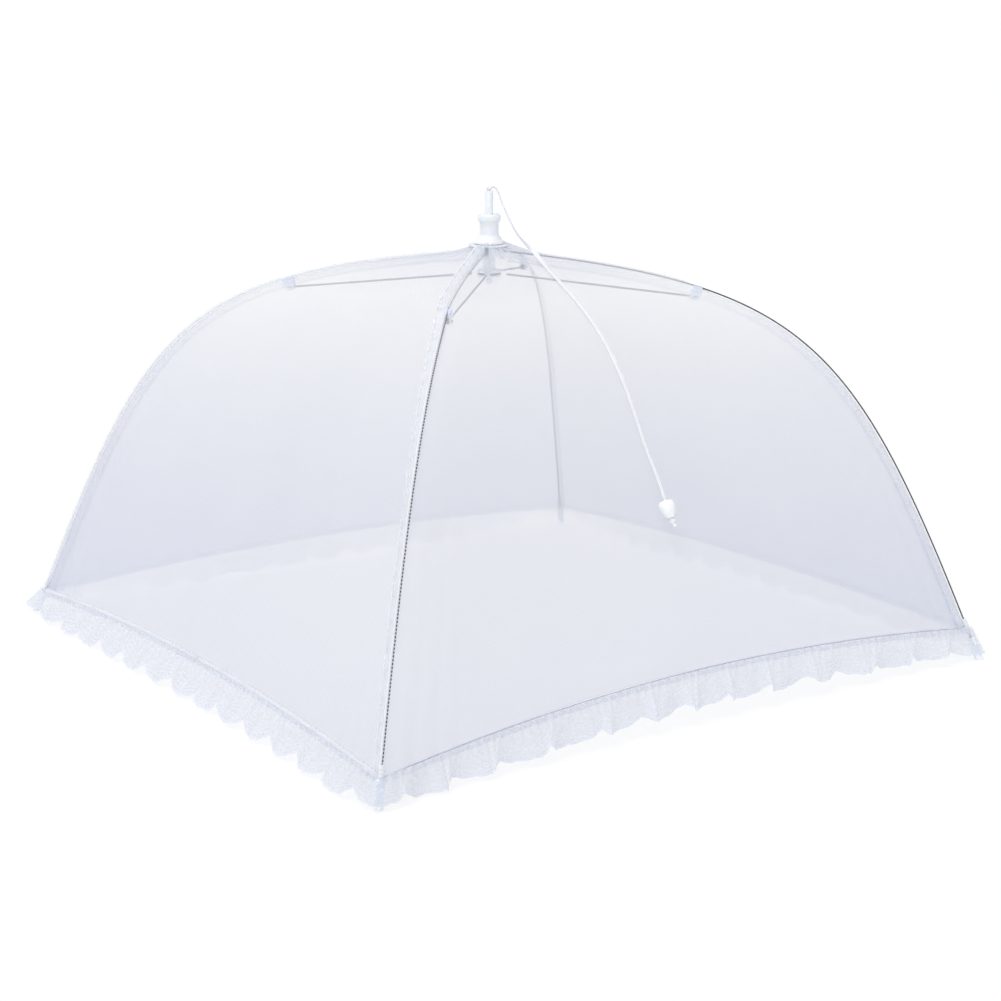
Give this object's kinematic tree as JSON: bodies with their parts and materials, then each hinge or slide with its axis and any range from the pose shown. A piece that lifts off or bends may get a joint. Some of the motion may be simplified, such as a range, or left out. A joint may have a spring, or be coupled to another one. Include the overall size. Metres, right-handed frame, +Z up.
{
  "type": "food cover net",
  "caption": "Square pop-up net tent for covering food, with bowed wire ribs, a folding runner and struts, a lace hem and a pull cord.",
  "frame": {"origin": "on the table, under the middle of the crown", "axes": "+Z up; the pull cord hangs over the front panel, which faces -Y; +X to the right"},
  "size_m": [0.4772, 0.4754, 0.2919],
  "materials": {
    "hub_plastic": "satin moulded plastic, off-white",
    "clip_plastic": "satin moulded plastic, slightly translucent white",
    "steel": "bright drawn spring wire",
    "net": "fine white polyester net, see-through",
    "tape": "white woven polyester binding",
    "lace": "white gathered polyester lace",
    "cord": "flat white woven cord",
    "bead": "glossy white moulded bead"
  },
  "bodies": {
    "crown": {"crown_hub": "hub_plastic", "hub_stem": "hub_plastic", "crown_patch": "tape", "rib_carrier": "hub_plastic", "rib_pin_back_right": "steel", "rib_pin_back_left": "steel", "rib_pin_front_left": "steel", "rib_pin_front_right": "steel", "net_panel_front": "net", "net_panel_right": "net", "net_panel_back": "net", "net_panel_left": "net", "hem_tape_front": "tape", "hem_tape_right": "tape", "hem_tape_back": "tape", "hem_tape_left": "tape", "lace_front": "lace", "lace_right": "lace", "lace_back": "lace", "lace_left": "lace", "inner_cord": "cord", "cord_knot": "cord", "pull_cord": "cord", "cord_bead": "bead", "cord_tail": "cord"},
    "rib_back_right": {"rib_back_right": "steel", "rib_tip_back_right": "clip_plastic", "rib_sleeve_inner_back_right": "tape", "rib_sleeve_outer_back_right": "tape", "rib_clip_back_right": "clip_plastic", "clip_pin_back_right": "steel"},
    "strut_back_right": {"strut_back_right": "steel"},
    "rib_back_left": {"rib_back_left": "steel", "rib_tip_back_left": "clip_plastic", "rib_sleeve_inner_back_left": "tape", "rib_sleeve_outer_back_left": "tape", "rib_clip_back_left": "clip_plastic", "clip_pin_back_left": "steel"},
    "strut_back_left": {"strut_back_left": "steel"},
    "rib_front_left": {"rib_front_left": "steel", "rib_tip_front_left": "clip_plastic", "rib_sleeve_inner_front_left": "tape", "rib_sleeve_outer_front_left": "tape", "rib_clip_front_left": "clip_plastic", "clip_pin_front_left": "steel"},
    "strut_front_left": {"strut_front_left": "steel"},
    "rib_front_right": {"rib_front_right": "steel", "rib_tip_front_right": "clip_plastic", "rib_sleeve_inner_front_right": "tape", "rib_sleeve_outer_front_right": "tape", "rib_clip_front_right": "clip_plastic", "clip_pin_front_right": "steel"},
    "strut_front_right": {"strut_front_right": "steel"},
    "runner": {"runner": "hub_plastic", "runner_wire_front": "steel", "runner_wire_right": "steel", "runner_wire_back": "steel", "runner_wire_left": "steel", "cord_anchor_knot": "cord"}
  },
  "joints": [
    {"name": "fold_front_left", "type": "hinge", "parent": "crown", "child": "rib_front_left", "pos_m": [-0.00495, -0.00495, 0.2506], "axis": [0.7071, -0.7071, 0], "range_deg": [0, 50]},
    {"name": "fold_front_right", "type": "hinge", "parent": "crown", "child": "rib_front_right", "pos_m": [0.00495, -0.00495, 0.2506], "axis": [0.7071, 0.7071, 0], "range_deg": [0, 50]},
    {"name": "fold_back_right", "type": "hinge", "parent": "crown", "child": "rib_back_right", "pos_m": [0.00495, 0.00495, 0.2506], "axis": [-0.7071, 0.7071, 0], "range_deg": [0, 50]},
    {"name": "fold_back_left", "type": "hinge", "parent": "crown", "child": "rib_back_left", "pos_m": [-0.00495, 0.00495, 0.2506], "axis": [-0.7071, -0.7071, 0], "range_deg": [0, 50]},
    {"name": "strut_turn_front_left", "type": "hinge", "parent": "rib_front_left", "child": "strut_front_left", "pos_m": [-0.09154, -0.09154, 0.22478], "axis": [0.7071, -0.7071, 0], "range_deg": [-117, 0]},
    {"name": "strut_turn_front_right", "type": "hinge", "parent": "rib_front_right", "child": "strut_front_right", "pos_m": [0.09154, -0.09154, 0.22478], "axis": [0.7071, 0.7071, 0], "range_deg": [-117, 0]},
    {"name": "strut_turn_back_right", "type": "hinge", "parent": "rib_back_right", "child": "strut_back_right", "pos_m": [0.09154, 0.09154, 0.22478], "axis": [-0.7071, 0.7071, 0], "range_deg": [-117, 0]},
    {"name": "strut_turn_back_left", "type": "hinge", "parent": "rib_back_left", "child": "strut_back_left", "pos_m": [-0.09154, 0.09154, 0.22478], "axis": [-0.7071, -0.7071, 0], "range_deg": [-117, 0]},
    {"name": "runner_slide", "type": "slide", "parent": "crown", "child": "runner", "axis": [0, 0, -1], "range_m": [0, 0.205]}
  ],
  "couplings": [
    {"joint": "fold_front_right", "follows": "fold_front_left", "ratio": 1},
    {"joint": "fold_back_right", "follows": "fold_front_left", "ratio": 1},
    {"joint": "fold_back_left", "follows": "fold_front_left", "ratio": 1},
    {"joint": "strut_turn_front_left", "follows": "fold_front_left", "ratio": -2.3322},
    {"joint": "strut_turn_front_right", "follows": "fold_front_left", "ratio": -2.3322},
    {"joint": "strut_turn_back_right", "follows": "fold_front_left", "ratio": -2.3322},
    {"joint": "strut_turn_back_left", "follows": "fold_front_left", "ratio": -2.3322},
    {"joint": "runner_slide", "follows": "fold_front_left", "m_per_rad": 0.23424}
  ]
}
